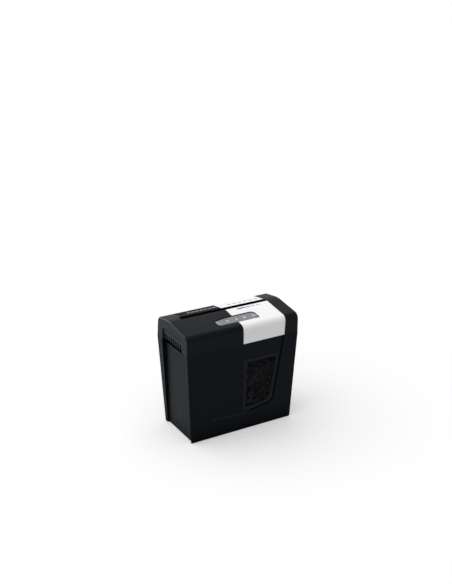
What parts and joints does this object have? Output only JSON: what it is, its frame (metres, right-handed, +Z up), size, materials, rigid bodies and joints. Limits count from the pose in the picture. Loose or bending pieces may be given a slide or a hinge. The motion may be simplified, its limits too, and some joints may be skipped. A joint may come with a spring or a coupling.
{
  "type": "paper shredder",
  "caption": "Desk-side cross-cut paper shredder: a geared cutting head with slot, touch strip and hand grips lifts off a tapered bin with a swept window.",
  "frame": {"origin": "middle of the footprint at floor level", "axes": "+X along the paper slot, the front faces -Y, +Z up"},
  "size_m": [0.328, 0.1709, 0.3151],
  "materials": {
    "bin_plastic": "fine-grained black moulding",
    "window_rim": "polished black moulding",
    "window_smoke": "dark tinted clear sheet",
    "clippings": "loose cross-cut paper",
    "foot_rubber": "matt rubber",
    "head_plastic": "fine-grained black moulding",
    "cap_plastic": "satin black moulding",
    "silver_panel": "silver lacquer, satin",
    "touch_panel": "grey back-printed touch film",
    "insert_gloss": "gloss black moulding",
    "base_plastic": "black moulding",
    "screw_steel": "zinc plated",
    "throat_plastic": "slippery black moulding",
    "plate_steel": "galvanised sheet",
    "rod_steel": "drawn bar",
    "bush_bronze": "sintered bronze",
    "comb_plastic": "filled nylon",
    "cutter_steel": "ground and oiled",
    "gear_steel": "sintered and oiled",
    "gear_nylon": "greased nylon",
    "gearbox_plastic": "black moulding",
    "motor_steel": "zinc plated tube",
    "motor_plastic": "black moulding",
    "rotor_iron": "varnished laminations",
    "pinion_brass": "hobbed brass",
    "board_green": "circuit board",
    "guide_clear": "milky light guide",
    "sensor_black": "moulded",
    "switch_black": "polished black moulding",
    "gland_rubber": "soft black grommet"
  },
  "bodies": {
    "bin": {"bin_shell": "bin_plastic", "window_frame": "window_rim", "window_pane": "window_smoke", "shredded_paper": "clippings", "rubber_feet": "foot_rubber"},
    "head": {"head_cover": "head_plastic", "end_cap": "cap_plastic", "front_trim": "silver_panel", "rear_trim": "silver_panel", "rear_insert": "insert_gloss", "control_strip": "touch_panel", "head_base": "base_plastic", "cover_screws": "screw_steel", "throat_front": "throat_plastic", "throat_rear": "throat_plastic", "side_plate_left": "plate_steel", "side_plate_right": "plate_steel", "tie_rods": "rod_steel", "shaft_bushes": "bush_bronze", "comb_front": "comb_plastic", "comb_rear": "comb_plastic", "gear_pins": "rod_steel", "gearbox_cover": "gearbox_plastic", "gearbox_screws": "screw_steel", "motor_can": "motor_steel", "motor_end_bell": "motor_plastic", "motor_screws": "screw_steel", "control_board": "board_green", "light_guides": "guide_clear", "power_board": "board_green", "sensor_emitter": "sensor_black", "sensor_receiver": "sensor_black", "safety_switch": "sensor_black", "switch_bezel": "switch_black", "cord_gland": "gland_rubber"},
    "front_cutter": {"cutter_front": "cutter_steel", "cutter_gear": "gear_steel", "sync_gear_front": "gear_steel", "circlip_front": "screw_steel"},
    "rear_cutter": {"cutter_rear": "cutter_steel", "sync_gear_rear": "gear_steel", "circlip_rear": "screw_steel"},
    "first_idler": {"idler_one": "gear_nylon"},
    "second_idler": {"idler_two": "gear_nylon"},
    "rotor": {"motor_rotor": "rotor_iron", "motor_pinion": "pinion_brass", "motor_fan": "motor_plastic"},
    "rocker": {"switch_rocker": "switch_black"}
  },
  "joints": [
    {"name": "head_lift", "type": "slide", "parent": "bin", "child": "head", "axis": [0, 0, 1], "range_m": [0, 0.15]},
    {"name": "cutter_front_spin", "type": "hinge", "parent": "head", "child": "front_cutter", "pos_m": [0, 0.0005, 0.258], "axis": [1, 0, 0], "continuous": true},
    {"name": "cutter_rear_spin", "type": "hinge", "parent": "head", "child": "rear_cutter", "pos_m": [0, 0.0305, 0.258], "axis": [1, 0, 0], "continuous": true},
    {"name": "second_idler_spin", "type": "hinge", "parent": "head", "child": "second_idler", "pos_m": [0, -0.02848, 0.25023], "axis": [1, 0, 0], "continuous": true},
    {"name": "first_idler_spin", "type": "hinge", "parent": "head", "child": "first_idler", "pos_m": [0, -0.0352, 0.27535], "axis": [1, 0, 0], "continuous": true},
    {"name": "rotor_spin", "type": "hinge", "parent": "head", "child": "rotor", "pos_m": [0, -0.048, 0.256], "axis": [1, 0, 0], "continuous": true},
    {"name": "rocker_tilt", "type": "hinge", "parent": "head", "child": "rocker", "pos_m": [-0.096, 0.0803, 0.26782], "axis": [1, 0, 0], "range_deg": [0, 16]}
  ],
  "couplings": [
    {"joint": "cutter_rear_spin", "follows": "cutter_front_spin", "ratio": -1},
    {"joint": "second_idler_spin", "follows": "cutter_front_spin", "ratio": -3},
    {"joint": "first_idler_spin", "follows": "cutter_front_spin", "ratio": 10},
    {"joint": "rotor_spin", "follows": "cutter_front_spin", "ratio": -48}
  ]
}
